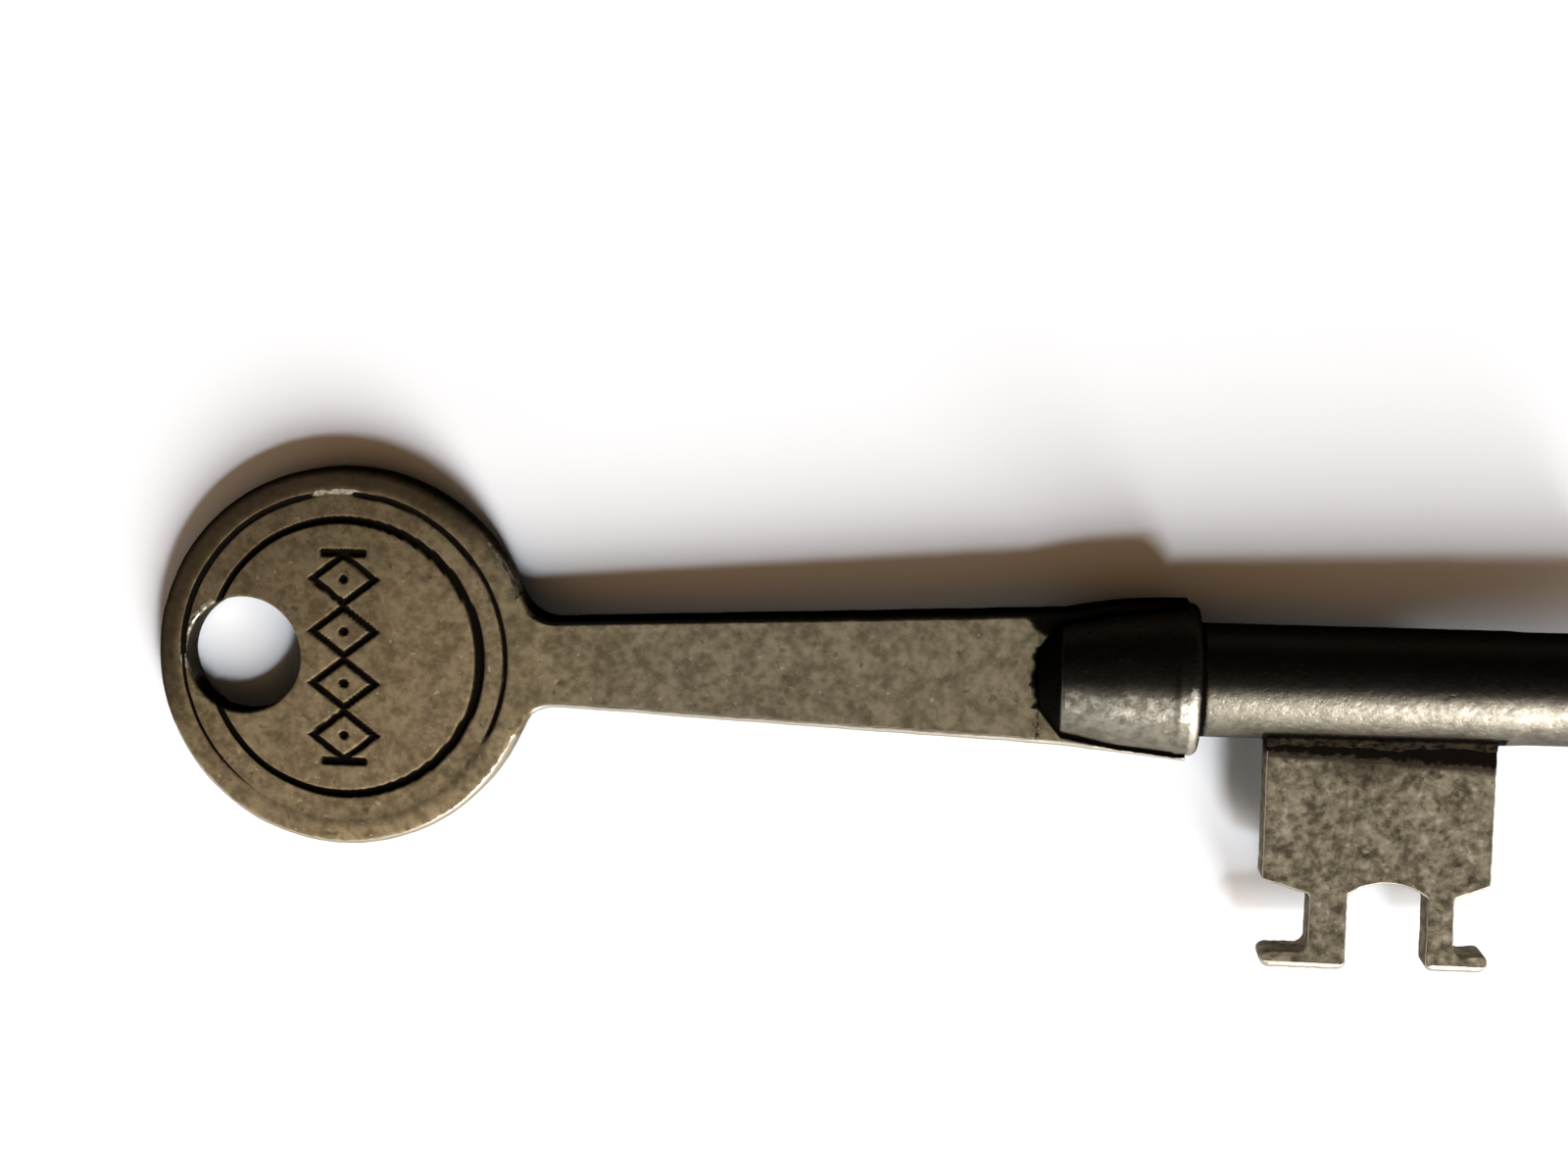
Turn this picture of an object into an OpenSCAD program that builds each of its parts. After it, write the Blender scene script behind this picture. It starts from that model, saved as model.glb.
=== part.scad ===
// Skeleton key: a round flat bow and its blade, a tapered collar, a round stem and a warded bit.
// Millimetres. The origin is the centre of the ring hole, half way through the bow's thickness.
// +X runs along the key to its nose, +Z leaves one flat face and the bit points along -Y.

/* [Bow] */
// Diameter of the round bow
bow_d = 19.6; // [18:0.1:26]
// Thickness of the bow and of the blade
bow_t = 2.3; // [1.8:0.1:3.2]
// Diameter of the hole that takes the key ring
ring_hole_d = 6; // [4.5:0.1:6.6]
// Distance from the ring hole's centre to the bow's centre
ring_offset = 5.3; // [4.9:0.05:5.8]
// Chamfer at both mouths of the ring hole
hole_chamfer = 0.15; // [0.05:0.05:0.3]
// Chamfer along the edges of the bow and of the blade
edge_chamfer = 0.25; // [0.1:0.05:0.35]

/* [Faces of the bow] */
// Width of the rim round the bow's edge
rim_w = 1.3; // [0.8:0.1:1.8]
// Height of the rim above the field inside it
rim_h = 0.1; // [0.05:0.05:0.2]
// Radius of the engraved ring, at the middle of its cut
groove_r = 7.1; // [6.4:0.1:7.4]
// Width of the engraved ring at the surface
groove_w = 0.45; // [0.3:0.05:0.7]
// Depth of the engraved ring below the field
groove_depth = 0.25; // [0.1:0.05:0.4]
// Number of lozenges in the engraved ornament
lozenge_count = 4; // [2:1:4]
// Distance from one lozenge's centre to the next
lozenge_pitch = 2.7; // [1.8:0.1:2.8]
// Width of each lozenge across the column
lozenge_w = 3.8; // [2.4:0.1:4]
// Width of the ornament's engraved lines
line_w = 0.42; // [0.3:0.02:0.5]
// Depth of the ornament below the field
ornament_depth = 0.2; // [0.1:0.05:0.35]

/* [Blade] */
// Distance from the ring hole's centre to the collar's rear end
blade_l = 40.85; // [30:0.05:60]
// Width of the blade where it leaves the bow
neck_w = 4.55; // [3.8:0.05:6]
// Radius of the hollow curves between the bow and the blade
neck_r = 2.0; // [1.2:0.1:3]
// Thickness of each flange beside the collar's shoulder
flange_rear_t = 0.4; // [0.3:0.05:0.8]
// Thickness of each flange at its thin end, near the collar's mouth
flange_front_t = 0.15; // [0.15:0.05:0.5]
// Length of the collar left bare in front of the flanges
flange_setback = 0.6; // [0.3:0.1:1]

/* [Collar] */
// Length of the collar
collar_l = 7.95; // [6:0.05:12]
// Diameter of the collar behind its mouth
collar_d = 7.6; // [7.3:0.1:9]
// Diameter of the collar at the top of its rear shoulder
shoulder_d = 6; // [5.8:0.1:7]
// Diameter of the small rear end face
heel_d = 3.5; // [2.8:0.1:5]
// Length of the sloping rear shoulder
heel_l = 1.15; // [0.6:0.05:1.6]
// Width of the bead round the mouth
lip_w = 1.2; // [0.8:0.1:2]
// Height of the bead above the collar
lip_h = 0.05; // [0.02:0.01:0.15]
// Radius that rounds the mouth's outer edge
mouth_r = 0.4; // [0.2:0.1:0.6]
// Chamfer at the mouth of the collar's bore
mouth_chamfer = 0.3; // [0.1:0.05:0.4]
// Depth of the bore that holds the stem
bore_depth = 5; // [4:0.1:5.6]

/* [Stem] */
// Diameter of the stem as far as the bit
stem_d = 5.75; // [4.6:0.05:6.1]
// Diameter of the stem's nose, which turns in the lock's guide
nose_d = 5.65; // [4.4:0.05:5.95]
// Length of the slight taper between the bit and the nose
nose_taper_l = 0.8; // [0.6:0.1:1]
// Length of the stem between the collar and the bit
stem_gap_l = 3.45; // [1:0.05:12]
// Length of the stem in front of the bit
nose_l = 8.3; // [2:0.1:12]
// Radius that rounds the tip of the nose
nose_r = 1.1; // [0.3:0.1:2]

/* [Bit] */
// Thickness of the bit
bit_t = 2.1; // [1.6:0.1:3]
// Distance from the stem's axis to the soles of the feet
bit_drop = 14.45; // [13.6:0.05:18]
// Distance from the stem's axis to the outer ends of the shoulders
shoulder_drop = 9.95; // [8:0.05:10.4]
// Depth of the ward cut on the side towards the bow
ward_rear_w = 2.4; // [1.4:0.1:3]
// Depth of the ward cut on the side towards the nose
ward_nose_w = 1.7; // [1.2:0.1:3]
// Width of the prong on the side towards the bow
prong_rear_w = 1.9; // [1.2:0.1:3]
// Width of the prong on the side towards the nose
prong_nose_w = 1.4; // [1.2:0.05:3]
// Width of the slot between the prongs
slot_w = 3.9; // [2.4:0.05:5]
// Rise of the arch at the head of the slot
arch_rise = 0.65; // [0.3:0.05:1]
// How far each shoulder slopes down to its prong
shoulder_slope = 0.65; // [0.1:0.05:0.7]
// Height of the feet
foot_h = 1; // [0.95:0.05:1.6]
// Radius that rounds the corners of the feet
foot_r = 0.45; // [0.2:0.05:0.45]
// Radius of the hollow between each foot and its prong
cove_r = 0.5; // [0.2:0.1:0.8]
// Radius of the small flares where the bit's ends meet the stem
flare_r = 0.5; // [0.2:0.1:0.8]

/* [Joints] */
// Gap left for brazing metal between pieces that fit into each other
fit_gap = 0.03; // [0.01:0.01:0.06]
// Thickness of the bit's tongue
tongue_t = 1.4; // [1:0.1:1.5]
// Depth of the tongue's seat in the stem
tongue_depth = 1.2; // [0.6:0.1:1.8]
// Distance from each end of the bit to the end of its tongue
tongue_inset = 0.9; // [0.5:0.1:2]
// Radius of the brazed fillets along the bit's root
braze_r = 0.45; // [0.3:0.05:0.7]

/* [Hidden] */

fine = 96;
overcut = 1;
arc_steps = 8;

bow_r = bow_d / 2;
field_r = bow_r - rim_w;
field_z = bow_t / 2 - rim_h;
bow_centre = [ring_offset, 0];

neck_h = neck_w / 2;
neck_dy = neck_h + neck_r;
neck_x = ring_offset + sqrt(pow(bow_r + neck_r, 2) - pow(neck_dy, 2));

collar_x = blade_l;
shoulder_x = collar_x + heel_l;
mouth_x = collar_x + collar_l;
lip_x = mouth_x - lip_w;
mouth_d = collar_d + 2 * lip_h;
flange_x = mouth_x - flange_setback;
flange_rear_h = shoulder_d / 2 + fit_gap + flange_rear_t;
flange_front_h = mouth_d / 2 + fit_gap + flange_front_t;

stem_r = stem_d / 2;
bore_r = stem_r + fit_gap;
bore_x = mouth_x - bore_depth;
stem_x = bore_x + fit_gap;
nose_land_r = nose_d / 2;

bit_x = mouth_x + stem_gap_l;
prong_rear_x = bit_x + ward_rear_w;
slot_x = prong_rear_x + prong_rear_w;
prong_nose_x = slot_x + slot_w;
ward_nose_x = prong_nose_x + prong_nose_w;
bit_end_x = ward_nose_x + ward_nose_w;
nose_x = bit_end_x + nose_l;
taper_x = bit_end_x + flare_r;
prong_top = -shoulder_drop - shoulder_slope;
arch_r = (pow(slot_w / 2, 2) + pow(arch_rise, 2)) / (2 * arch_rise);
arch_top = prong_top + arch_rise;
root_y = -stem_r / 2;
braze_lift = 2 * fit_gap;

key_brown = [0.42, 0.38, 0.30];
key_grey = [0.50, 0.47, 0.40];
braze_brown = [0.33, 0.27, 0.18];

// Points of a quarter circle about a centre, from one angle to the next
function arc(centre, r, from, to) = [
    for (i = [0 : arc_steps])
        let (a = from + (to - from) * i / arc_steps)
            centre + r * [cos(a), sin(a)]
];

// Turns a profile of [radius, place along X] about the X axis
module turn_about_x() {
    rotate([90, 0, 90])
        rotate_extrude($fn = fine)
            children();
}

// The collar's outside as [radius, x], made larger all round by a gap
function collar_outside(gap) = concat(
    [
        [0, collar_x - gap],
        [heel_d / 2 + gap, collar_x - gap],
        [shoulder_d / 2 + gap, shoulder_x - gap],
        [collar_d / 2 + gap, lip_x],
        [mouth_d / 2 + gap, lip_x + lip_h]
    ],
    arc([mouth_d / 2 - mouth_r + gap, mouth_x - mouth_r + gap], mouth_r, 0, 90),
    [[0, mouth_x + gap]]
);

// The bow as a round plate with chamfered edges
module bow_plate() {
    top = bow_t / 2;
    translate(bow_centre)
        rotate_extrude($fn = fine)
            polygon([
                [0, -top],
                [bow_r - edge_chamfer, -top],
                [bow_r, edge_chamfer - top],
                [bow_r, top - edge_chamfer],
                [bow_r - edge_chamfer, top],
                [0, top]
            ]);
}

// Removes the hollow curve beside the neck, with its chamfered edges
module neck_hollow(side) {
    top = bow_t / 2;
    translate([neck_x, side * neck_dy])
        rotate_extrude($fn = fine)
            polygon([
                [0, -top - overcut],
                [neck_r + edge_chamfer + overcut, -top - overcut],
                [neck_r, edge_chamfer - top],
                [neck_r, top - edge_chamfer],
                [neck_r + edge_chamfer + overcut, top + overcut],
                [0, top + overcut]
            ]);
}

module neck() {
    difference() {
        linear_extrude(bow_t, center = true)
            polygon([bow_centre, [neck_x, neck_dy], [neck_x, -neck_dy]]);
        for (side = [-1, 1])
            neck_hollow(side);
    }
}

// Chamfers both long edges of the blade between two points of its outline
module blade_edge(from, to, side) {
    run = to - from;
    reach = 2 * overcut;
    inset = edge_chamfer / sqrt(2);
    for (face = [-1, 1])
        translate([from.x, side * from.y, face * bow_t / 2])
            rotate([0, 0, side * atan2(run.y, run.x)])
                rotate([side * face * 45, 0, 0])
                    translate([0, side > 0 ? -inset : inset - reach, -reach / 2])
                        cube([norm(run), reach, reach]);
}

module blade() {
    outline = [[neck_x, neck_h], [shoulder_x, flange_rear_h], [flange_x, flange_front_h]];
    difference() {
        linear_extrude(bow_t, center = true)
            polygon(concat(outline, [for (i = [2 : -1 : 0]) [outline[i].x, -outline[i].y]]));
        for (side = [-1, 1])
            for (i = [0 : 1])
                blade_edge(outline[i], outline[i + 1], side);
    }
}

module lozenge(w, h) {
    polygon([[-w / 2, 0], [0, -h / 2], [w / 2, 0], [0, h / 2]]);
}

// A column of lozenges with a dot in each and a bar at both ends. Neighbours overlap by half a line,
// because shapes that meet in one point leave an edge that four faces share.
module ornament() {
    lozenge_h = lozenge_pitch + line_w / 2;
    inner = 1 - 2 * line_w / lozenge_h;
    half = (lozenge_count - 1) / 2;
    bar_w = 0.6 * lozenge_w;
    for (i = [-half : half])
        translate([0, i * lozenge_pitch]) {
            difference() {
                lozenge(lozenge_w, lozenge_h);
                lozenge(lozenge_w * inner, lozenge_h * inner);
            }
            circle(d = line_w, $fn = 24);
        }
    for (end = [-1, 1])
        translate([0, end * (half + 0.5) * lozenge_pitch])
            square([bar_w, line_w], center = true);
}

// Everything that is cut into one face of the bow
module face_cuts() {
    floor_z = field_z - groove_depth;
    translate([ring_offset, 0, field_z])
        cylinder(h = overcut, r = field_r, $fn = fine);
    translate(bow_centre)
        rotate_extrude($fn = fine)
            polygon([
                [groove_r - groove_w / 2, field_z + overcut],
                [groove_r - groove_w / 2, field_z],
                [groove_r - groove_w / 4, floor_z],
                [groove_r + groove_w / 4, floor_z],
                [groove_r + groove_w / 2, field_z],
                [groove_r + groove_w / 2, field_z + overcut]
            ]);
    translate([ring_offset, 0, field_z - ornament_depth])
        linear_extrude(overcut)
            ornament();
    translate([0, 0, field_z - hole_chamfer])
        cylinder(h = hole_chamfer, r1 = ring_hole_d / 2, r2 = ring_hole_d / 2 + hole_chamfer, $fn = fine);
}

module bow_blade() {
    color(key_brown)
        difference() {
            union() {
                bow_plate();
                neck();
                blade();
            }
            cylinder(h = bow_t + overcut, d = ring_hole_d, center = true, $fn = fine);
            face_cuts();
            mirror([0, 0, 1])
                face_cuts();
            turn_about_x()
                polygon(collar_outside(fit_gap));
        }
}

module collar() {
    color(key_grey)
        difference() {
            turn_about_x()
                polygon(collar_outside(0));
            turn_about_x()
                polygon([
                    [0, bore_x],
                    [bore_r, bore_x],
                    [bore_r, mouth_x - mouth_chamfer],
                    [bore_r + mouth_chamfer, mouth_x],
                    [bore_r + mouth_chamfer, mouth_x + overcut],
                    [0, mouth_x + overcut]
                ]);
        }
}

// The stem stops a fitting gap short of the bore's floor
module stem() {
    slot_from = bit_x + tongue_inset - fit_gap;
    slot_l = bit_end_x - bit_x - 2 * tongue_inset + 2 * fit_gap;
    slot_t = tongue_t + 2 * fit_gap;
    color(key_grey)
        difference() {
            turn_about_x()
                polygon(concat(
                    [
                        [0, stem_x],
                        [stem_r, stem_x],
                        [stem_r, taper_x],
                        [nose_land_r, taper_x + nose_taper_l]
                    ],
                    arc([nose_land_r - nose_r, nose_x - nose_r], nose_r, 0, 90),
                    [[0, nose_x]]
                ));
            translate([slot_from, -stem_r - overcut, -slot_t / 2])
                cube([slot_l, overcut + tongue_depth + fit_gap, slot_t]);
        }
}

// A rectangle with rounded corners, placed by its lower left corner
module rounded_bar(x, y, w, h, r) {
    translate([x + r, y])
        square([w - 2 * r, h]);
    translate([x, y + r])
        square([w, h - 2 * r]);
    for (cx = [x + r, x + w - r])
        for (cy = [y + r, y + h - r])
            translate([cx, cy])
                circle(r = r, $fn = 32);
}

// Fills an inside corner with a hollow curve that opens towards +X or -X and towards +Y or -Y
module hollow_corner(x, y, side, up, r) {
    translate([x, y])
        difference() {
            translate([side > 0 ? -overcut / 4 : -r, up > 0 ? -overcut / 4 : -r])
                square(r + overcut / 4);
            translate([side * r, up * r])
                circle(r = r, $fn = 48);
        }
}

module bit_outline() {
    sole = -bit_drop;
    foot_top = sole + foot_h;
    difference() {
        union() {
            polygon([
                [bit_x, root_y],
                [bit_x, -shoulder_drop],
                [prong_rear_x, prong_top],
                [ward_nose_x, prong_top],
                [bit_end_x, -shoulder_drop],
                [bit_end_x, root_y]
            ]);
            translate([prong_rear_x, sole + foot_r])
                square([prong_rear_w, prong_top - sole]);
            translate([prong_nose_x, sole + foot_r])
                square([prong_nose_w, prong_top - sole]);
            rounded_bar(bit_x, sole, ward_rear_w + prong_rear_w, foot_h, foot_r);
            rounded_bar(prong_nose_x, sole, prong_nose_w + ward_nose_w, foot_h, foot_r);
            hollow_corner(prong_rear_x, foot_top, -1, 1, cove_r);
            hollow_corner(ward_nose_x, foot_top, 1, 1, cove_r);
            hollow_corner(bit_x, -stem_r - braze_lift, -1, -1, flare_r);
            hollow_corner(bit_end_x, -stem_r - braze_lift, 1, -1, flare_r);
        }
        translate([slot_x, sole - overcut])
            intersection() {
                square([slot_w, arch_top - sole + overcut]);
                union() {
                    square([slot_w, prong_top - sole + overcut]);
                    translate([slot_w / 2, arch_top - sole + overcut - arch_r])
                        circle(r = arch_r, $fn = fine);
                }
            }
    }
}

// The plate's root is hollowed to sit on the stem, and its tongue enters the stem's slot
module bit() {
    color(key_brown) {
        difference() {
            linear_extrude(bit_t, center = true)
                bit_outline();
            turn_about_x()
                polygon([[0, stem_x], [bore_r, stem_x], [bore_r, nose_x], [0, nose_x]]);
        }
        translate([bit_x + tongue_inset, -bore_r - tongue_depth, -tongue_t / 2])
            cube([bit_end_x - bit_x - 2 * tongue_inset, bore_r + 2 * tongue_depth - stem_r, tongue_t]);
    }
}

// The fillet in one corner, as [y, z], hollow towards the outside
module braze_section() {
    reach = stem_r + braze_r + braze_lift;
    z = bit_t / 2 + braze_r + braze_lift;
    y = -sqrt(pow(reach, 2) - pow(z, 2));
    difference() {
        polygon([[y, bit_t / 2], [root_y, bit_t / 2], [y, z] * stem_r / reach, [y, z]]);
        translate([y, z])
            circle(r = braze_r, $fn = 64);
        circle(r = bore_r, $fn = fine);
    }
}

module bit_braze() {
    color(braze_brown)
        for (face = [0, 1])
            mirror([0, 0, face])
                translate([bit_x, 0, 0])
                    rotate([90, 0, 90])
                        linear_extrude(bit_end_x - bit_x)
                            braze_section();
}

bow_blade();
collar();
stem();
bit();
bit_braze();
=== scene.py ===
# %% [markdown]
# # A skeleton key in aged brass
#
# The key is a cast and filed brass key for a mortise lock: a round flat bow with a hole for the key
# ring, a flat blade, a collar, a round stem and a warded bit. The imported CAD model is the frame. Each
# visible piece is worked out here again as a finer surface in the same place, so that worn edges,
# engraved lines and pits are real shape and not only paint.

import bmesh
import bpy
import numpy as np
from mathutils import Matrix, Vector


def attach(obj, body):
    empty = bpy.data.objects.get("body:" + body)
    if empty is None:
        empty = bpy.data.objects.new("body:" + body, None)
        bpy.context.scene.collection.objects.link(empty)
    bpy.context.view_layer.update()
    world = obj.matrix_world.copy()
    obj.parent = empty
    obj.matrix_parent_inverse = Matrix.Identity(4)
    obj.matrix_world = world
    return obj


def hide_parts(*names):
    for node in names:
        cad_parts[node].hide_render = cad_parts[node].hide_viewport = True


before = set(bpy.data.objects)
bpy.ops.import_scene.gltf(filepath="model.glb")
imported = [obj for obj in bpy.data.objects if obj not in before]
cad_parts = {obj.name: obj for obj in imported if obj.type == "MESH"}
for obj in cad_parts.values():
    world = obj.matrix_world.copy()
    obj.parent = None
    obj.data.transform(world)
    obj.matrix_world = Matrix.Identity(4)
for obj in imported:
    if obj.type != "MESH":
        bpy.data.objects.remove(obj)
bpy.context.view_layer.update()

# %% [markdown]
# ## Measures
#
# All shapes are worked out in millimetres with the same values as the CAD source, and turned into
# metres when a mesh is made. The origin is the centre of the ring hole. +X runs to the nose of the
# key, +Z leaves the front face and the bit points along -Y.

# %% Measures of the key
MM = 0.001

BOW_X, BOW_R, BOW_TOP = 5.3, 9.8, 1.15
HOLE_R = 3.0
FIELD_R, FIELD_Z = 8.5, 1.05
RING_R, RING_W, RING_DEPTH = 7.1, 0.45, 0.25
LOZENGE_COUNT, LOZENGE_PITCH, LOZENGE_W, LINE_W, LINE_DEPTH = 4, 2.7, 3.8, 0.42, 0.2

NECK_X, NECK_H, NECK_R, NECK_DY = 16.298, 2.275, 2.0, 4.275
SHOULDER_X, SHOULDER_H = 42.0, 3.43
FLANGE_X, FLANGE_H = 48.2, 4.03

COLLAR_X, LIP_X, MOUTH_X = 40.85, 47.6, 48.8
HEEL_R, SHOULDER_R, COLLAR_R, MOUTH_R = 1.75, 3.0, 3.8, 3.85
BARREL_X, BARREL_R = 44.7, 3.5
BORE_R, BORE_X, MOUTH_CHAMFER = 2.905, 43.8, 0.3

STEM_R, NOSE_R, STEM_X, NOSE_X = 2.875, 2.825, 43.83, 71.85
TAPER_X, TAPER_END = 64.05, 64.85

BIT_X, BIT_END, BIT_TOP = 52.25, 63.55, 1.05
BIT_ROOT_Y, SHOULDER_Y, WARD_Y = -1.6, -9.95, -10.62
WARD_REAR_X, SLOT_REAR_X, SLOT_NOSE_X, WARD_NOSE_X = 54.65, 56.55, 60.45, 61.85
SLOT_Y, ARCH_RISE = -10.6, 0.65
FOOT_Y, REAR_SOLE_Y, NOSE_SOLE_Y = -13.5, -14.45, -14.34
print("key length", round(NOSE_X - BOW_X + BOW_R, 2), "mm")

# %% [markdown]
# ## Smooth noise
#
# Casting skin, dents and filed edges are all small random waves. The usual way is value noise: random
# numbers sit on the corners of a cube lattice and are blended smoothly in between. It is written with
# whole arrays, so that a surface of a hundred thousand points takes a fraction of a second, and it
# depends only on the place, so that neighbouring pieces agree.


# %% Noise on whole arrays
def lattice_value(cells, seed):
    """A repeatable number from -1 to 1 for each whole-numbered cell: the fraction of a large sine."""
    mixed = cells @ np.array([127.1, 311.7, 74.7]) + 61.3 * seed
    return 2 * np.modf(np.abs(np.sin(mixed) * 43758.5453))[0] - 1


def noise(points, scale, seed=0):
    """The values of the eight lattice corners round a point, blended with 3t^2 - 2t^3 on each axis."""
    place = points / scale
    cell = np.floor(place)
    t = place - cell
    t = t * t * (3 - 2 * t)
    total = np.zeros(points.shape[:-1])
    for corner in np.ndindex(2, 2, 2):
        near = np.array(corner)
        weight = np.prod(np.where(near == 1, t, 1 - t), axis=-1)
        total += weight * lattice_value(cell + near, seed)
    return total


def rough(points, scale, seed=0, octaves=3):
    """A sum of noises, each half the size and 0.55 times the height of the one before."""
    layers = [0.55**k * noise(points, scale * 0.5**k, seed + k) for k in range(octaves)]
    return sum(layers)


def smoothstep(low, high, value):
    """0 below low, 1 above high, and 3t^2 - 2t^3 in between."""
    t = np.clip((value - low) / (high - low), 0, 1)
    return t * t * (3 - 2 * t)


def nicks(places, layers):
    """How far wear and the file have eaten into an edge: the sizes of a few noises, summed.

    Each layer is given by its depth, its scale and its seed.
    """
    return sum(depth * np.abs(noise(places, scale, seed)) for depth, scale, seed in layers)


def flat_waves(x, y):
    """How far a cast face stands off its plane: slow swells and a finer skin, and never above it."""
    places = np.stack([x, y, np.zeros_like(x)], axis=-1)
    return 0.008 * rough(places, 2.6, 11) + 0.003 * rough(places, 0.45, 21, 2) - 0.012


# %% [markdown]
# ## From a grid of points to a mesh
#
# Every surface below is a rectangular grid: one parameter goes along the piece and the other across
# it. Where the grid closes on itself, its last column joins the first. Rows that have shrunk to a
# point are merged, which closes the ends. Two numbers are kept with each point for the materials.
# The first marks edges that hands and pockets rub bright, and also painted highlights. The second
# marks corners where dirt stays, and also painted shade.


# %% Grid helpers
MERGE_DISTANCE = 2e-7


def grid_quads(rows, columns, close_rows=False, close_columns=False):
    """The four corner numbers of every cell of a grid, going round anticlockwise."""
    number = np.arange(rows * columns).reshape(rows, columns)
    if close_rows:
        number = np.vstack([number, number[:1]])
    if close_columns:
        number = np.hstack([number, number[:, :1]])
    corners = [number[:-1, :-1], number[1:, :-1], number[1:, 1:], number[:-1, 1:]]
    return np.stack(corners, axis=-1).reshape(-1, 4)


def make_piece(name, points, faces, wear_and_highlight, grime_and_shade, node, slot):
    """Build a mesh from points in millimetres, close its seams and hang it on the frame.

    Points that coincide are merged. Then all faces are turned the same way, and if the signed volume
    comes out negative, they point inwards and are turned round.
    """
    mesh = bpy.data.meshes.new(name)
    mesh.from_pydata((points.reshape(-1, 3) * MM).tolist(), [], [list(face) for face in faces])
    for title, values in (("wear_and_highlight", wear_and_highlight), ("grime_and_shade", grime_and_shade)):
        layer = mesh.attributes.new(title, "FLOAT", "POINT")
        layer.data.foreach_set("value", np.clip(values, 0, 1).astype(np.float32).ravel())
    work = bmesh.new()
    work.from_mesh(mesh)
    bmesh.ops.remove_doubles(work, verts=work.verts, dist=MERGE_DISTANCE)
    bmesh.ops.recalc_face_normals(work, faces=work.faces)
    if work.calc_volume(signed=True) < 0:
        bmesh.ops.reverse_faces(work, faces=work.faces)
    work.to_mesh(mesh)
    work.free()
    mesh.shade_smooth()
    piece = bpy.data.objects.new(name, mesh)
    bpy.context.collection.objects.link(piece)
    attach(piece, "root")
    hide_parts(node)
    print(name, len(mesh.vertices), "points", len(mesh.polygons), "faces")
    return piece


# %% [markdown]
# ## Rounded outlines
#
# Sections and outlines are given by a few corners. Each corner becomes an arc that is tangent to both
# of its sides, and the whole line is then cut into even steps, so that the grid has no long cells.


# %% Rounded and evenly cut lines
def unit(vectors):
    """The same directions, each with length 1."""
    return vectors / np.linalg.norm(vectors, axis=1, keepdims=True)


def round_corners(corners, radii, closed, steps=8):
    """Replace each corner by an arc. It starts r / tan(half the corner's angle) away from the corner."""
    corners, radii = np.array(corners, float), np.maximum(np.array(radii, float), 1e-4)
    back = unit(np.roll(corners, 1, axis=0) - corners)
    ahead = unit(np.roll(corners, -1, axis=0) - corners)
    half = np.arccos(np.clip((back * ahead).sum(1), -0.9999, 0.9999)) / 2
    centre = corners + unit(back + ahead) * (radii / np.sin(half))[:, None]
    start = corners + back * (radii / np.tan(half))[:, None] - centre
    end = corners + ahead * (radii / np.tan(half))[:, None] - centre
    sweep = (np.pi - 2 * half)[:, None, None]
    t = np.linspace(0, 1, steps + 1)[None, :, None]
    blend = np.sin((1 - t) * sweep) * start[:, None] + np.sin(t * sweep) * end[:, None]
    arcs = centre[:, None] + blend / np.sin(sweep)
    if closed:
        return arcs.reshape(-1, 2)
    return np.vstack([corners[:1], arcs[1:-1].reshape(-1, 2), corners[-1:]])


def even_steps(line, step, closed=False):
    """Points at even distances along a line, found from its running length."""
    line = np.vstack([line, line[:1]]) if closed else line
    run = np.r_[0, np.cumsum(np.linalg.norm(np.diff(line, axis=0), axis=1))]
    count = int(run[-1] / step) + 1
    at = np.linspace(0, run[-1], count, endpoint=not closed)
    return np.stack([np.interp(at, run, line[:, k]) for k in range(2)], axis=1)


# %% [markdown]
# ## The bow
#
# The bow is a disc of 19.6 mm with a 6 mm hole near its edge. A grid with straight spokes would bunch
# up at the hole. Nested circles fit both edges: the first is the hole's rim, the last is the disc's,
# and in between the centre slides from one to the other. The face's height is then a function of x
# and y: a rim that rounds off outwards, a step, a field with one engraved ring and a column of
# engraved lozenges. The step is cut deep along part of its way only, and its dirt line follows.


# %% Heights of the bow's face
def line_cut(distance, half_width, depth):
    """Depth of an engraved line: full in the middle and rounded up to nothing at its half width."""
    return depth * smoothstep(half_width + 0.04, half_width - 0.1, np.abs(distance))


def ornament_depth(x, y):
    """Lozenges repeat every pitch along y. |x| / a + |y| / b = 1 is one lozenge's outline."""
    pitch, half = LOZENGE_PITCH, (LOZENGE_COUNT - 1) / 2
    a, b = LOZENGE_W / 2, pitch / 2 + LINE_W / 4
    number = np.clip(np.round(y / pitch - half) + half, -half, half)
    along = y - number * pitch
    distance = (np.abs(x) / a + np.abs(along) / b - 1) * a * b / np.hypot(a, b)
    width = LINE_W * a / np.hypot(a, b)
    lozenge = line_cut(distance + width / 2, width / 2, LINE_DEPTH)
    dot = LINE_DEPTH * smoothstep(0.28, 0.12, np.hypot(x, along))
    end = np.abs(y) - (half + 0.5) * pitch
    bar_end = smoothstep(0.33 * LOZENGE_W, 0.28 * LOZENGE_W, np.abs(x))
    bar = line_cut(end, LINE_W / 2, LINE_DEPTH) * bar_end
    return np.maximum(np.maximum(lozenge, dot), bar)


def bow_bearing(x, y):
    """Bearing from the bow's centre in degrees: 0 towards the blade, 90 to +Y and -90 to -Y."""
    return np.degrees(np.arctan2(y, x - BOW_X))


def step_strength(x, y):
    """How sharp the step still is at each bearing: clear towards the blade and worn at -Y."""
    at = [-180, -135, -120, -60, -32, -22, 82, 88, 98, 106, 180]
    strength = [0.75, 0.4, 0.1, 0.1, 0.2, 1.0, 1.0, 0.15, 0.15, 0.8, 0.75]
    return np.interp(bow_bearing(x, y), at, strength)


def neck_share(x, y):
    """1 on the bow's edge where the blade joins it and 0 elsewhere."""
    return smoothstep(25, 19, np.abs(bow_bearing(x, y)))


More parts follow.
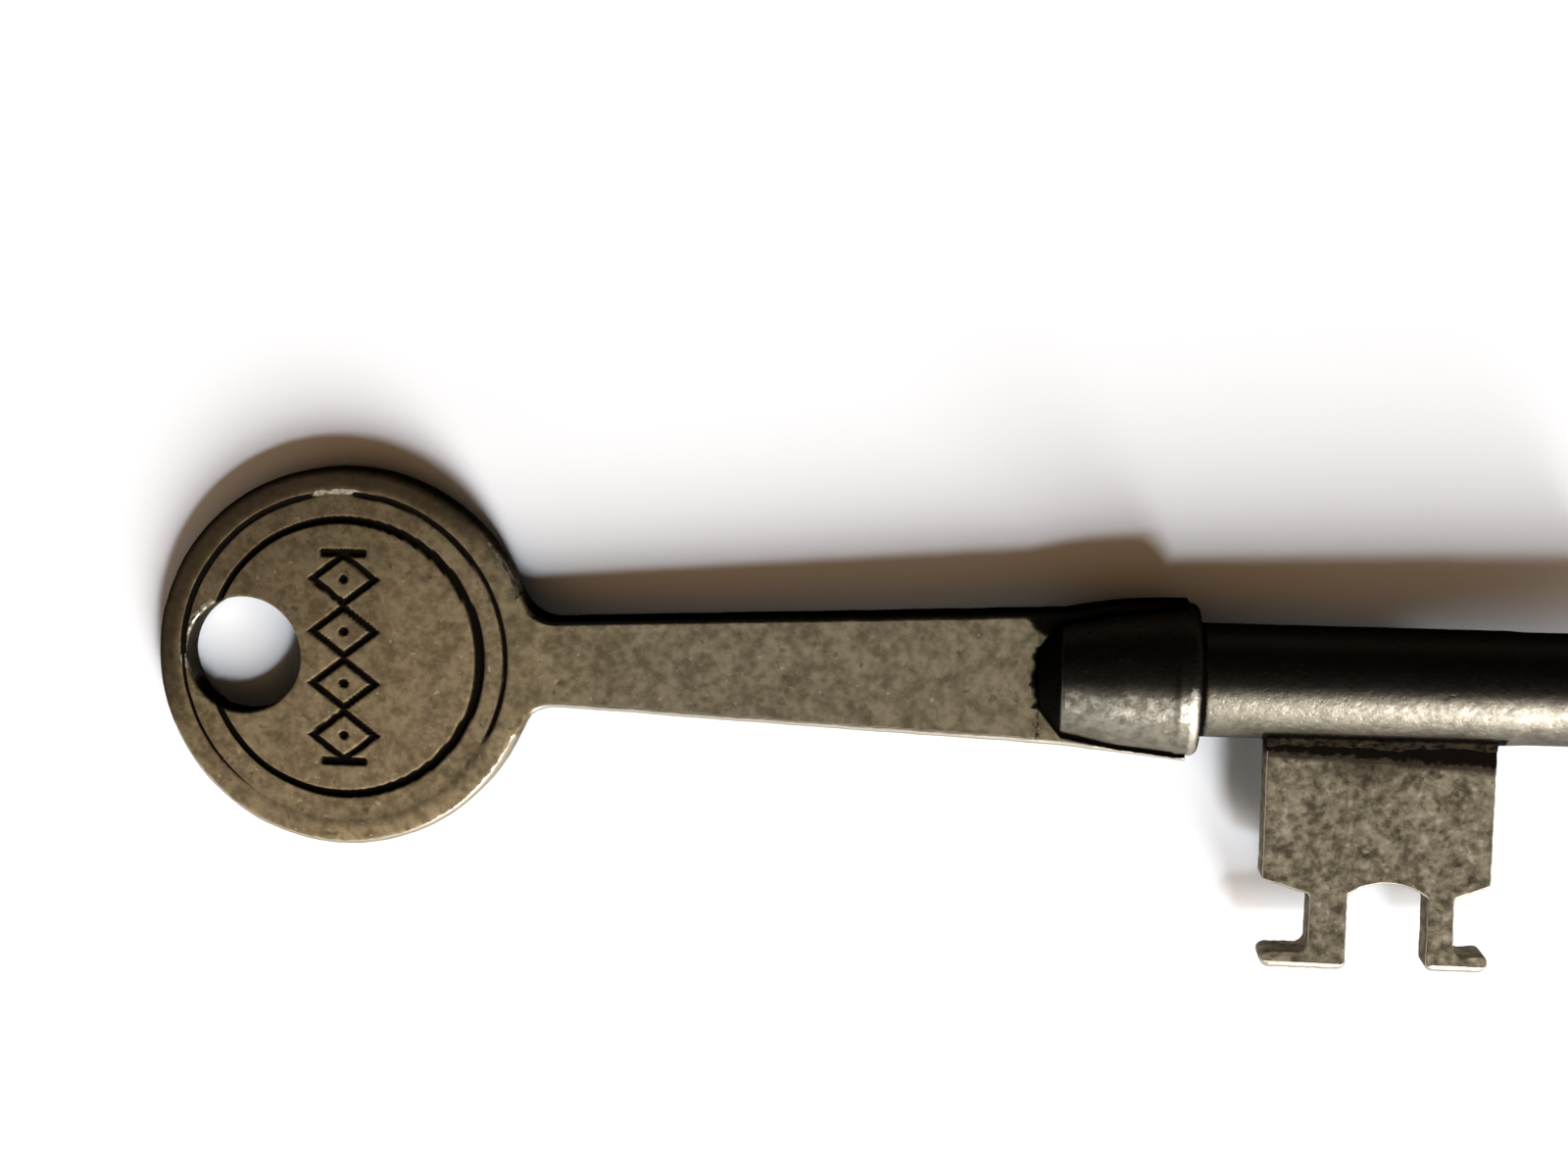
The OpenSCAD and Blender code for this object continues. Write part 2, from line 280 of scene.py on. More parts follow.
def face_height(x, y):
    """Height of the bow's face above its middle plane, the depth of its engraving and of its step."""
    places = np.stack([x, y, np.zeros_like(x)], axis=-1)
    radius = np.hypot(x - BOW_X, y) + 0.018 * noise(places, 1.3, 5)
    sharp = step_strength(x, y)
    blur = 0.09 + 0.35 * (1 - sharp)
    rise = (BOW_TOP - FIELD_Z) * smoothstep(-blur, blur, radius - FIELD_R)
    seam_w = 0.1 + 0.06 * smoothstep(-10, 30, bow_bearing(x, y))
    seam = sharp * line_cut(radius - FIELD_R + 0.06, seam_w, 0.1)
    dome = 0.09 * np.clip((radius - 8.7) / 0.8, 0, 1.3) ** 2 * (1 - neck_share(x, y))
    ring_w = RING_W * (0.72 + 0.28 * np.clip((x - 2.0) / 8.0, 0, 1))
    ring = line_cut(radius - RING_R, ring_w / 2, RING_DEPTH)
    cut = np.maximum(ring, ornament_depth(x - BOW_X, y))
    return FIELD_Z + rise - seam - dome - cut + flat_waves(x, y), cut, seam


# %% [markdown]
# Hands have rubbed the bow's outer edge, and one short stretch of the step is worn bright. A darker
# film is painted over the half of the bow away from the window, thickest on its rim: this is painted
# shade, and the rubbed edge fades under it. The side of the hole that faces the window is painted
# light, a painted highlight, and the other side of the hole is painted dark, painted shade. Engraved
# lines and the step hold dirt.

# %% Wear, dirt, painted highlights and painted shade of the bow
WORN_EDGE_R = 9.68
WORN_STEP_R, WORN_STEP_BEARING = 8.55, 92
HOLE_LIGHT_SIDE = (-0.91, 0.42)
SHADE_SIDE = (-0.5, 0.87)


def bow_marks(x, y, cut, seam, on_wall):
    """Wear with painted highlights, and grime with painted shade. Each is the largest of a few bands,
    and each band is a soft step in a distance.
    """
    from_centre = np.hypot(x - BOW_X, y)
    from_hole = np.hypot(x, y) - HOLE_R
    in_hole = on_wall & (from_hole < 0.5)

    # Painted shade: a darker film on the half of the bow away from the window, heavier on the rim.
    toward_shade = (x - BOW_X) * SHADE_SIDE[0] + y * SHADE_SIDE[1]
    film = 0.27 * np.clip((toward_shade + 6) / 15, 0, 1)
    film += 0.17 * smoothstep(8.5, 9.1, from_centre) * smoothstep(-1, 5, toward_shade)
    # The side of the hole that faces the window. Its wall and the face beside it get a painted
    # highlight.
    hole_lit_side = (x * HOLE_LIGHT_SIDE[0] + y * HOLE_LIGHT_SIDE[1]) / (from_hole + HOLE_R)
    hole_lit_side = smoothstep(0.2, 0.95, hole_lit_side)

    edge_wear = smoothstep(0.3, 0.0, np.abs(from_centre - WORN_EDGE_R)) * (1 - neck_share(x, y))
    # The rubbed edge is made fainter where the painted shade lies.
    edge_wear *= 1 - 2.2 * film
    lip_wear = 0.4 * smoothstep(0.25, 0.05, np.abs(from_hole - 0.08))
    hole_highlight = 0.62 * hole_lit_side * smoothstep(0.55, 0.2, from_hole)
    step_wear = 0.62 * smoothstep(14, 7, np.abs(bow_bearing(x, y) - WORN_STEP_BEARING))
    step_wear *= smoothstep(0.28, 0.1, np.abs(from_centre - WORN_STEP_R))
    wear_and_highlight = np.maximum.reduce([edge_wear, lip_wear, hole_highlight, step_wear, in_hole * hole_lit_side])

    grime_and_shade = np.maximum.reduce([smoothstep(0.02, 0.1, cut), smoothstep(0.01, 0.05, seam), film])
    # Inside the hole, the wall away from the window gets painted shade. The outer wall gets the painted
    # shade of the far half.
    grime_and_shade = np.where(in_hole, 0.9 * (1 - hole_lit_side), np.where(on_wall, film, grime_and_shade))
    return wear_and_highlight, grime_and_shade


# %% The bow as nested circles
LIP = 0.15
SLIDE_END = 8.75


def bow_rows(front_rows, back_rows, lip=LIP, edge=0.38):
    """Radius, drop below the face and side of each row: 1 front, -1 back, fractions on the walls."""
    quarter = np.linspace(0, np.pi / 2, 6)
    lip_radius, lip_drop = HOLE_R + lip * (1 - np.cos(quarter)), lip * (1 - np.sin(quarter))
    edge_radius, edge_drop = BOW_R - edge * (1 - np.sin(quarter)), edge * (1 - np.cos(quarter))
    lip_row = np.stack([lip_radius, lip_drop, np.ones(6)], axis=1)
    edge_row = np.stack([edge_radius, edge_drop, np.ones(6)], axis=1)

    def face(count, side):
        radii = np.linspace(HOLE_R + lip, BOW_R - edge, count + 2)[1:-1]
        return np.stack([radii, np.zeros(count), np.full(count, side)], axis=1)

    def wall(radius, drop, sides):
        return np.stack([np.full(len(sides), radius), np.full(len(sides), drop), sides], axis=1)

    turned = np.array([1, 1, -1])
    return np.vstack(
        [
            wall(HOLE_R, lip, np.linspace(-0.75, 0.75, 5)),
            lip_row,
            face(front_rows, 1),
            edge_row,
            wall(BOW_R, edge, np.linspace(0.6, -0.6, 3)),
            edge_row[::-1] * turned,
            face(back_rows, -1)[::-1],
            lip_row[::-1] * turned,
        ]
    )


def bow_surface(turns=512):
    """Point = (centre(R) + R cos a, R sin a, side * (face height - drop)). The centre slides with R."""
    radius, drop, side = (column[:, None] for column in bow_rows(100, 50).T)
    angle = np.linspace(0, 2 * np.pi, turns, endpoint=False)[None]
    slide = np.clip((radius - HOLE_R - LIP) / (SLIDE_END - HOLE_R - LIP), 0, 1)
    round_way = np.stack([np.cos(angle), np.sin(angle), 0 * angle], axis=-1)
    nicked = 1 - nicks(round_way, ((0.003, 0.16, 3), (0.0015, 0.04, 4)))
    radius = radius * np.where(radius > BOW_R - 0.35, nicked, 1)
    x = BOW_X * slide + radius * np.cos(angle)
    y = radius * np.sin(angle)
    height, cut, seam = face_height(x, y)
    from_centre = np.hypot(x - BOW_X, y)
    at_edge = smoothstep(9.3, 9.45, from_centre)
    drop = drop * (1 - at_edge * neck_share(x, y))
    sink = 0.006 * smoothstep(9.55, 9.75, from_centre) * neck_share(x, y)
    points = np.stack([x, y, side * (height - drop - sink)], axis=-1)
    return points, bow_marks(x, y, cut, seam, np.abs(side) < 0.9)


points, (wear_and_highlight, grime_and_shade) = bow_surface()
faces = grid_quads(*points.shape[:2], close_rows=True, close_columns=True)
bow = make_piece("bow", points, faces, wear_and_highlight, grime_and_shade, "bow_blade", "aged_flats")

# %% [markdown]
# ## The blade
#
# The blade leaves the bow through two hollow curves and widens towards the collar, where it forks
# into two thin flanges. It could be an extruded outline, but its edges are rounded by wear and its
# faces wave a little. So the outline is one line and each grid line runs from it to the centre or, in
# the fork, to the collar. The two halves differ a little, as the flange away from the bit swells
# beside the collar. The first stretch lies a hair under the bow's rim, where it is out of sight. The
# edge towards the bit is light, partly wear and partly a painted highlight. Dirt fills the corner
# between the flanges and the collar. Painted shade with a ragged edge darkens the blade's end behind
# the collar's heel. On the half away from the bit, the edge is painted dark as shade, and the flange
# beside the collar is painted dark as the collar's shadow.


# %% Outline of the blade
def collar_radius(x):
    """Outside radius of the collar: a steep heel, then a slightly swelling taper."""
    along = [COLLAR_X, SHOULDER_X, BARREL_X, LIP_X, MOUTH_X]
    return np.interp(x, along, [HEEL_R, SHOULDER_R, BARREL_R, COLLAR_R, COLLAR_R])


def blade_stations(fork_x, step=0.13):
    """The outline in even steps: a stretch behind the fork and one beside it. Both hold its point."""
    bearing = np.arctan2(-NECK_DY, BOW_X - NECK_X)
    angle = np.linspace(bearing + 2 * np.pi, 1.5 * np.pi, 40)
    hollow = np.stack([NECK_X + NECK_R * np.cos(angle), NECK_DY + NECK_R * np.sin(angle)], axis=1)
    slope = (SHOULDER_H - NECK_H) / (SHOULDER_X - NECK_X)
    fork = [fork_x, NECK_H + slope * (fork_x - NECK_X)]
    under_rim = [[13.9, 3.2], [14.2, 3.42]]
    behind = np.vstack([under_rim, hollow, [fork]])
    beside = np.array([fork, [SHOULDER_X, SHOULDER_H], [FLANGE_X, FLANGE_H]])
    behind, beside = even_steps(behind, step), even_steps(beside, step)
    return np.vstack([behind, beside]), len(behind)


# %% One half of the blade
FLANGE_SWELL = 0.17
FIT_GAP = 0.03
FAR_AWAY = 9.0


def blade_section(edge, steps=7, lines=19):
    """Each line's inset from the outline, its drop below the face and its share of the way inwards."""
    quarter = np.linspace(0, np.pi / 2, steps)
    inset = np.r_[0, edge * (1 - np.cos(quarter)), np.full(lines, edge)]
    drop = np.r_[edge, edge * (1 - np.sin(quarter)), np.zeros(lines)]
    share = np.r_[np.zeros(steps + 1), np.linspace(0, 1, lines + 1)[1:]]
    return inset, drop, share


def blade_marks(half, px, py, from_edge, from_collar, behind_fork):
    """Wear with a painted highlight on the edge towards the bit, and dirt beside the collar. Painted
    shade with a ragged outline lies behind the heel, and on the far half on the edge and the flange.
    """
    along = np.stack([half * py, 0 * px, 0 * px], axis=-1)
    ragged = 0.2 * noise(along, 0.5, 9) + 0.1 * noise(along, 0.17, 10)
    at_edge = smoothstep(0.3, 0.1, from_edge) * smoothstep(14.5, 15.5, px)
    # Dirt beside the collar, and painted shade with a ragged edge behind the collar's heel.
    grime_and_shade = np.maximum(smoothstep(0.3, 0.1, from_collar), smoothstep(0.4, 0.1, behind_fork + ragged))
    if half < 0:
        return at_edge, grime_and_shade
    # On the half away from the bit: the collar's painted shadow on the flange, and painted shade on the
    # edge.
    collar_shadow = smoothstep(39.4, 39.9, px - 1.2 * (SHOULDER_H - py) + ragged)
    return 0.1 * at_edge, np.maximum.reduce([grime_and_shade, collar_shadow, at_edge])


def blade_half(half, edge=0.25, fork_x=COLLAR_X - 0.02):
    """Point = outline + inset along its normal, then a share of the way to the centre or the collar.

    half is 1 for the half away from the bit and -1 for the half beside it.
    """
    line, fork = blade_stations(fork_x)
    tangent = unit(np.gradient(line, axis=0))
    inward = np.stack([tangent[:, 1], -tangent[:, 0]], axis=1)
    x, y = line.T
    if half > 0:
        y = y + FLANGE_SWELL * np.sin(np.pi * np.clip((x - SHOULDER_X) / (FLANGE_X - SHOULDER_X), 0, 1))
    beside = np.arange(len(x)) >= fork
    opening = np.sqrt(np.maximum(collar_radius(x) + FIT_GAP, 1.2) ** 2 - BOW_TOP**2)
    inner = np.where(beside, opening, 0.0)

    inset, drop, share = blade_section(edge)
    place = np.stack([x, y, np.full_like(x, half)], axis=1)
    filed = nicks(place, ((0.045, 1.7, 7), (0.02, 0.4, 8))) * smoothstep(15, 17, x)
    pushed = inset + filed[:, None]
    px = x[:, None] + inward[:, :1] * pushed
    py = y[:, None] + inward[:, 1:] * pushed
    px = px + (x[:, None] - px) * share
    py = py + (inner[:, None] - py) * share

    from_bow = np.hypot(px - BOW_X, py)
    under = 0.02 * smoothstep(9.55, 9.3, from_bow) + 0.006 * smoothstep(9.75, 9.55, from_bow)
    from_collar = np.where(beside[:, None], np.abs(py - inner[:, None]), FAR_AWAY)
    behind_fork = np.where(beside[:, None] | (np.abs(py) > 1.5), FAR_AWAY, fork_x - px)
    lean = 0.1 * smoothstep(0.22, 0.0, np.minimum(from_collar, behind_fork))
    height = BOW_TOP + flat_waves(px, py * half) - under - lean
    side = np.where(np.arange(len(inset)) == 0, 0.0, 1.0)
    front = np.stack([px, py, side * (height - drop)], axis=-1)
    from_edge = np.abs(inset - 0.12) + 6 * share
    wear_and_highlight, grime_and_shade = blade_marks(half, px, py, from_edge, from_collar, behind_fork)
    return front, wear_and_highlight, grime_and_shade, fork


def both_faces(values, turn):
    """Join the back face, last line first, to the front face. They share the wall's middle line."""
    return np.concatenate([(values * turn)[:, 1:][:, ::-1], values], axis=1)


def closed_ends(values, shrink):
    """Repeat the first and last station, shrunk to their middle points if asked, to close the ends."""
    ends = [values[:1], values[-1:]]
    if shrink:
        ends = [np.broadcast_to(end.mean(axis=1, keepdims=True), end.shape) for end in ends]
    return np.concatenate([ends[0], values, ends[1]])


def blade_mesh():
    """Both halves with their end caps and the walls of the fork, as points, faces, wear and grime."""
    parts, all_faces, start = [], [], 0
    for half in (1, -1):
        front, wear_and_highlight, grime_and_shade, fork = blade_half(half)
        points = closed_ends(both_faces(front, np.array([1, 1, -1])), True) * np.array([1, half, 1])
        stations, lines = points.shape[:2]
        skin = grid_quads(stations, lines)
        first = np.arange(stations - 1) * lines
        wall = np.stack([first, first + lines, first + 2 * lines - 1, first + lines - 1], axis=1)
        wall = np.concatenate([wall[:1], wall[fork:]])
        all_faces.append(np.concatenate([skin, wall]) + start)
        wear_and_highlight, grime_and_shade = (closed_ends(both_faces(v, 1), False) for v in (wear_and_highlight, grime_and_shade))
        parts.append([points.reshape(-1, 3), wear_and_highlight.ravel(), grime_and_shade.ravel()])
        start += stations * lines
    points, wear_and_highlight, grime_and_shade = (np.concatenate(values) for values in zip(*parts))
    return points, np.concatenate(all_faces), wear_and_highlight, grime_and_shade


blade = make_piece("blade", *blade_mesh(), "bow_blade", "aged_flats")

# %% [markdown]
# ## The collar and the stem
#
# Both are turned pieces, so each is a section carried round the X axis. A plain lathe surface would
# look new. Here the radius also has shallow dents and pits, which catch the light as the real
# scratched and pitted metal does. On the side towards the bit a light band runs along the collar and
# its bead is light, partly wear and partly a painted highlight. The side away from the bit is
# darkened on both as painted shade, and the collar's heel is painted dark as shade. The collar's
# mouth and the stem beside it are darkened, and dirt lies in the corners at the flanges and the bit.


# %% Turned pieces
def turned_surface(section, turns, dents, pits, seed):
    """Point = (x, r cos a, r sin a). r is the section's radius less the dents and pits at that place.

    The section's own x and radius at each point are given back too.
    """
    x, smooth_r = (np.repeat(column[:, None], turns, axis=1) for column in section.T)
    angle = np.linspace(0, 2 * np.pi, turns, endpoint=False)
    ring = np.stack([x, smooth_r * np.cos(angle), smooth_r * np.sin(angle)], axis=-1)
    dent = dents * (1 + rough(ring, 1.7, seed)) / 2
    pit = pits * smoothstep(0.35, 0.8, rough(ring, 0.3, seed + 9, 2))
    r = smooth_r - (dent + pit) * smoothstep(0.0, 0.6, smooth_r)
    return np.stack([x, r * np.cos(angle), r * np.sin(angle)], axis=-1), x, smooth_r


def toward_bit(points):
    """Each point's angle round the key's axis, in degrees: 0 on both faces, 90 towards the bit."""
    return np.degrees(np.arctan2(-points[..., 1], np.abs(points[..., 2])))


# %% The collar
def collar_section():
    """The collar's section as (x, radius): heel, shoulder, barrel, bead at the mouth and bore.

    Each corner comes with the radius that rounds it.
    """
    corners = [
        ((COLLAR_X, 0), 0),
        ((COLLAR_X, HEEL_R), 0.12),
        ((SHOULDER_X, SHOULDER_R), 0.16),
        ((BARREL_X, BARREL_R), 12),
        ((LIP_X - 0.1, COLLAR_R - 0.02), 0.1),
        ((LIP_X + 0.1, MOUTH_R), 0.1),
        ((MOUTH_X, MOUTH_R), 0.4),
        ((MOUTH_X, BORE_R + MOUTH_CHAMFER), 0.12),
        ((MOUTH_X - MOUTH_CHAMFER, BORE_R), 0.1),
        ((BORE_X, BORE_R), 0.1),
        ((BORE_X, 0), 0),
    ]
    return even_steps(round_corners(*zip(*corners), False), 0.09)


points, x, r = turned_surface(collar_section(), 384, 0.022, 0.006, 31)
bearing = toward_bit(points)

shoulder_wear = 0.25 * smoothstep(0.3, 0.05, np.abs(x - SHOULDER_X - 0.1))
# The bead, and a band along the side towards the bit: wear and a painted highlight.
lip_wear = smoothstep(0.5, 0.1, np.abs(x - MOUTH_X + 0.35)) * (r > BARREL_R)
lip_wear = 0.8 * lip_wear * smoothstep(-20, 10, bearing)
rubbed_and_highlight_band = 0.62 * smoothstep(-6, 10, bearing) * smoothstep(44, 22, bearing) * (x > SHOULDER_X + 0.1)
wear_and_highlight = np.maximum.reduce([shoulder_wear, lip_wear, rubbed_and_highlight_band])

# Painted shade on the collar's heel, which turns away from the window.
heel_shade = smoothstep(SHOULDER_X + 0.02, SHOULDER_X - 0.12, x)
mouth = smoothstep(3.75, 3.6, r) * (x > MOUTH_X - 0.8)
beside_flange = smoothstep(1.5, 1.25, np.abs(points[..., 2])) * (x < FLANGE_X)
# Painted shade on the side of the collar away from the bit.
far_side_shade = 0.4 * smoothstep(12, -8, bearing)
grime_and_shade = np.maximum.reduce([heel_shade, mouth, beside_flange, far_side_shade])
faces = grid_quads(*points.shape[:2], close_columns=True)
collar = make_piece("turned_collar", points, faces, wear_and_highlight, grime_and_shade, "collar", "worn_rounds")


# %% The stem
def stem_section():
    """The stem's section: its end in the bore, the plain rod, a slight taper and the rounded nose."""
    corners = [
        ((STEM_X, 0), 0),
        ((STEM_X, STEM_R), 0.05),
        ((TAPER_X, STEM_R), 2),
        ((TAPER_END, NOSE_R), 2),
        ((NOSE_X, NOSE_R), 1.1),
        ((NOSE_X, 0), 0),
    ]
    return even_steps(round_corners(*zip(*corners), False), 0.12)


points, x, r = turned_surface(stem_section(), 320, 0.018, 0.006, 47)
wear_and_highlight = 0.5 * smoothstep(1.5, 0.2, np.abs(x - NOSE_X + 0.4))
root = smoothstep(-2.2, -2.5, points[..., 1]) * (x > BIT_X - 0.3) * (x < BIT_END + 0.3)
at_mouth = smoothstep(0.45, 0.15, x - MOUTH_X)
# Painted shade on the side of the stem away from the bit.
far_side_shade = 0.36 * smoothstep(12, -8, toward_bit(points))
grime_and_shade = np.maximum.reduce([at_mouth, root, far_side_shade])
faces = grid_quads(*points.shape[:2], close_columns=True)
stem = make_piece("turned_stem", points, faces, wear_and_highlight, grime_and_shade, "stem", "worn_rounds")

# %% [markdown]
# ## The bit
#
# The bit is filed from plate: two ward cuts, a slot with an arched head and two feet. Its outline is
# one closed line. A section with rounded edges is carried along that line, and the flat middle of
# each face is filled in. The file leaves the edges slightly uneven, so the line waves a little too.


# %% Outline of the bit
def arch_points(left, right, spring, rise, count=13):
    """Points of a low arch between two walls. Its radius is (half span^2 + rise^2) / (2 rise)."""
    span = (right - left) / 2
    radius = (span**2 + rise**2) / (2 * rise)
    across = np.linspace(-span, span, count)
    height = spring + rise - radius + np.sqrt(radius**2 - across**2)
    return np.stack([(left + right) / 2 + across, height], axis=1)


def bit_outline():
    """The outline, anticlockwise from the top rear corner. Each corner comes with its radius.

    It departs a few hundredths from the square, as filed by hand, and the nose foot stands higher.
    """
    arch = arch_points(SLOT_REAR_X, SLOT_NOSE_X, SLOT_Y, ARCH_RISE)
    rear = [
        ((BIT_X, BIT_ROOT_Y), 0.25),
        ((BIT_X, SHOULDER_Y), 0.24),
        ((WARD_REAR_X, WARD_Y), 0.2),
        ((WARD_REAR_X - 0.03, FOOT_Y + 0.05), 0.5),
        ((BIT_X, FOOT_Y), 0.42),
        ((BIT_X + 0.04, REAR_SOLE_Y + 0.03), 0.5),
        ((SLOT_REAR_X, REAR_SOLE_Y), 0.38),
        ((SLOT_REAR_X, SLOT_Y), 0.02),
    ]
    nose = [
        ((SLOT_NOSE_X, SLOT_Y), 0.02),
        ((SLOT_NOSE_X + 0.02, NOSE_SOLE_Y), 0.4),
        ((BIT_END, NOSE_SOLE_Y), 0.5),
        ((BIT_END, FOOT_Y + 0.2), 0.4),
        ((WARD_NOSE_X, FOOT_Y), 0.55),
        ((WARD_NOSE_X - 0.05, WARD_Y), 0.2),
        ((BIT_END, SHOULDER_Y), 0.24),
        ((BIT_END, BIT_ROOT_Y), 0.25),
    ]
    middle = [(tuple(p), 0.02) for p in arch[1:-1]]
    corners, radii = zip(*(rear + middle + nose))
    return even_steps(round_corners(corners, radii, True, steps=6), 0.07, closed=True)


# %% The bit as a section carried along its outline
WALL_DROP = 0.7
FACE_LINE = 1.15


def bit_surface():
    """Point = outline + inset along its normal. Rows run from the back face over the wall to the front.

    Wear has rounded the soles and the lower edges to a larger radius. The two rows in the middle of the
    wall keep a fixed place, so that the wall stays flat between its rounded edges.
    """
    line = bit_outline()
    tangent = unit(np.roll(line, -1, axis=0) - np.roll(line, 1, axis=0))
    inward = np.stack([-tangent[:, 1], tangent[:, 0]], axis=1)
    place = np.concatenate([line, np.zeros((len(line), 1))], axis=1)
    filed = nicks(place, ((0.035, 0.5, 61), (0.02, 0.17, 62)))
    above_sole = line[:, 1] - REAR_SOLE_Y
    edge = 0.12 + 0.06 * smoothstep(0.3, 0.8, inward[:, 1]) + 0.18 * smoothstep(0.5, 0.1, above_sole)

    quarter = np.linspace(0, np.pi / 2, 7)
    across = np.r_[0, 1 - np.cos(quarter), FACE_LINE]
    drop = np.r_[1, 1 - np.sin(quarter), 0]
    count = len(across)
    across, drop = (np.r_[rows[::-1], rows][:, None] for rows in (across, drop))
    side = np.repeat([-1, 1], count)[:, None]
    inset, drop = across * edge, drop * edge
    drop[count - 1 : count + 1] = WALL_DROP
    moved = line[None] + inward[None] * (inset + filed * (1 - across / FACE_LINE))[..., None]
    points = np.concatenate([moved, (side * (BIT_TOP - drop))[..., None]], axis=-1)
    wear_and_highlight = smoothstep(0.45, 0.15, np.abs(across - 0.4) - 0.35 * smoothstep(0.55, 0.15, above_sole))
    return points, wear_and_highlight


def cut_through(piece, axis, places):
    """Cut all faces along planes across one axis, so that a flat face has points inside it too."""
    work = bmesh.new()
    work.from_mesh(piece.data)
    for place in places:
        spot, direction = Vector(), Vector()
        spot[axis], direction[axis] = place * MM, 1
        everything = work.verts[:] + work.edges[:] + work.faces[:]
        bmesh.ops.bisect_plane(work, geom=everything, plane_co=spot, plane_no=direction, dist=1e-7)
    work.to_mesh(piece.data)
    work.free()


def root_dirt(points):
    """Dirt under the stem: a band that widens to the nose, with one stain below it."""
    x, y, z = points.T
    band = smoothstep(-0.7, 0.4, y + 3.3 + 0.045 * (x - BIT_X))
    stain_x, stain_y, stain_length = 57.3, -4.1, 2.6
    stain = 0.28 * np.exp(-(((x - stain_x) / stain_length) ** 2) - (y - stain_y) ** 2)
    return np.maximum(band, stain)


points, wear_and_highlight = bit_surface()
rows, columns = points.shape[:2]
quads = grid_quads(rows, columns, close_columns=True)
caps = [list(range(columns)), list(range((rows - 1) * columns, rows * columns))]
faces = [list(quad) for quad in quads] + caps
bit = make_piece("filed_bit", points, faces, wear_and_highlight, np.zeros_like(wear_and_highlight), "bit", "aged_flats")
cut_through(bit, 0, np.linspace(BIT_X, BIT_END, 30)[1:-1])
cut_through(bit, 1, np.linspace(-5.2, -2.8, 14))
places = np.empty(3 * len(bit.data.vertices), np.float32)
bit.data.vertices.foreach_get("co", places)
dirt_and_shade = root_dirt(places.reshape(-1, 3) / MM)
bit.data.attributes["grime_and_shade"].data.foreach_set("value", dirt_and_shade.astype(np.float32))

# %% [markdown]
# ## The braze
#
# A thin, uneven line of brazing metal fills the corner between the bit and the stem on both faces.
# Its section is a hollow quarter curve carried along the root, and its width wanders.


# %% The braze as a wandering fillet
def braze_surface(side, size=0.42):
    """Points between the stem's wall and the bit's face. u runs along the root and v across the fillet.

    The skin is the hollow quarter curve. One more line lies inside the metal and closes the section.
    """
    u = np.linspace(BIT_X + 0.02, BIT_END - 0.02, 150)
    v = np.linspace(0, np.pi / 2, 9)
    place = np.stack([u, 0 * u, 0 * u + side], axis=1)
    width = size * (1 + 0.35 * noise(place, 1.3, 71) + 0.15 * noise(place, 0.35, 72))
    root_y = -np.sqrt(STEM_R**2 - BIT_TOP**2)
    y = root_y - width[:, None] * (1 - np.sin(v))
    z = BIT_TOP + width[:, None] * (1 - np.cos(v)) * 0.75
    skin = np.stack([np.broadcast_to(u[:, None], y.shape), y, side * z], axis=-1)
    inside = 0.25
    core = np.stack([u, 0 * u + root_y + inside, 0 * u + side * (BIT_TOP - inside)], axis=-1)
    return closed_ends(np.concatenate([core[:, None], skin], axis=1), True)


braze = []
for name, side in (("braze_front", 1), ("braze_back", -1)):
    points = braze_surface(side)
    faces = grid_quads(*points.shape[:2], close_columns=True)
    wear_and_highlight = np.zeros(points.shape[:2])
    braze.append(make_piece(name, points, faces, wear_and_highlight, wear_and_highlight + 0.6, "bit_braze", "braze_metal"))
print("pieces:", [o.name for o in (bow, blade, collar, stem, bit, *braze)])

# %% [markdown]
# ## Effects that the materials share
#
# Old brass is a bright metal under a brown film. The film is cloudy at every scale, flecks of metal
# show through it, dirt fills the low places and rubbing clears the edges. The masks for dirt and
# rubbing also carry painted shade and painted highlights. Each of these effects is one node group.
# All of them read the place on the key in millimetres, so they cross the joints between pieces
# without a break.


# %% Helpers for node trees
def add(tree, kind, inputs=None, **settings):
    """Add a shader node. Inputs that are sockets are linked and all others are set as values."""
    node = tree.nodes.new("ShaderNode" + kind)
    for key, value in settings.items():
        setattr(node, key, value)
    for key, value in (inputs or {}).items():
        if isinstance(value, bpy.types.NodeSocket):
            tree.links.new(value, node.inputs[key])
        else:
            node.inputs[key].default_value = value
    return node


def new_group(name, inputs, outputs):
    """An empty group with named sockets. It gives back the tree, what comes in and what goes out."""
    tree = bpy.data.node_groups.new(name, "ShaderNodeTree")
    for way, sockets in (("INPUT", inputs), ("OUTPUT", outputs)):
        for title, kind in sockets:
            tree.interface.new_socket(title, in_out=way, socket_type="NodeSocket" + kind)
    return tree, tree.nodes.new("NodeGroupInput").outputs, tree.nodes.new("NodeGroupOutput").inputs


def place_group(tree, group, inputs):
    """Put a group into a material and link or set its inputs."""
    return add(tree, "Group", inputs, node_tree=group).outputs


def math(tree, operation, first, second):
    """One sum, difference, product or larger value of two numbers."""
    return add(tree, "Math", {0: first, 1: second}, operation=operation).outputs[0]


def ramp(tree, value, low, high):
    """0 at low, 1 at high and a smooth rise between them."""
    inputs = {"Value": value, "From Min": low, "From Max": high}
    return add(tree, "MapRange", inputs, interpolation_type="SMOOTHSTEP").outputs["Result"]


def between(tree, share, first, second):
    """A number that goes from the first value to the second as the share goes from 0 to 1."""
    inputs = {"Value": share, "To Min": first, "To Max": second}
    return add(tree, "MapRange", inputs).outputs["Result"]


def mix_colour(tree, share, first, second):
    """The first colour where the share is 0 and the second where it is 1."""
    inputs = {0: share, 6: first, 7: second}
    return add(tree, "Mix", inputs, data_type="RGBA").outputs[2]


